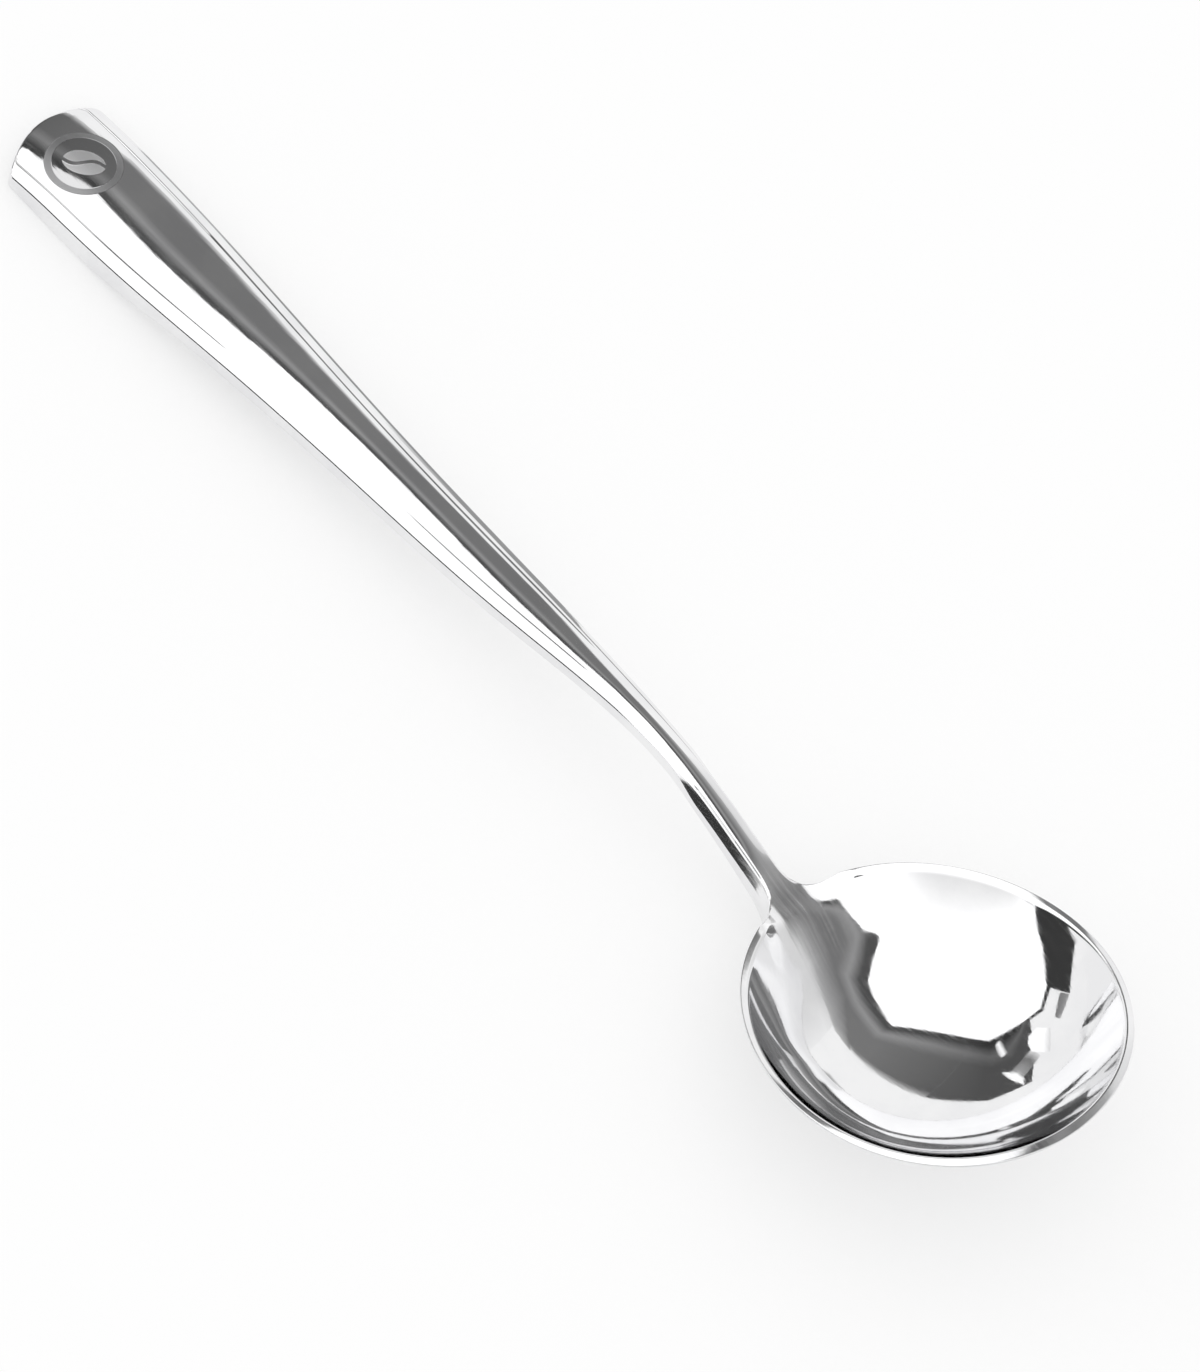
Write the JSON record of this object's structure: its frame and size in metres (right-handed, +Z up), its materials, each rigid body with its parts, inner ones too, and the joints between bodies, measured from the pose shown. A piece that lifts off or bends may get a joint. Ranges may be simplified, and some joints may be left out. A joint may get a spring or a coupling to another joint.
{
  "type": "cupping spoon",
  "caption": "Polished steel cupping spoon with a deep round bowl, a slim bent neck and a long tapered handle with bevelled edges, for slurping hot liquid when tasting",
  "frame": {"origin": "middle of the small flat under the bowl, on the table the spoon rests on", "axes": "+X from the handle towards the front of the bowl, +Y to the left seen from the handle, +Z up, away from the table"},
  "size_m": [0.1717, 0.0414, 0.018],
  "materials": {
    "bowl_steel": "mirror polished stainless steel",
    "neck_steel": "mirror polished stainless steel",
    "handle_steel": "mirror polished stainless steel"
  },
  "bodies": {
    "root": {"bowl": "bowl_steel", "neck": "neck_steel", "handle": "handle_steel"}
  },
  "joints": []
}
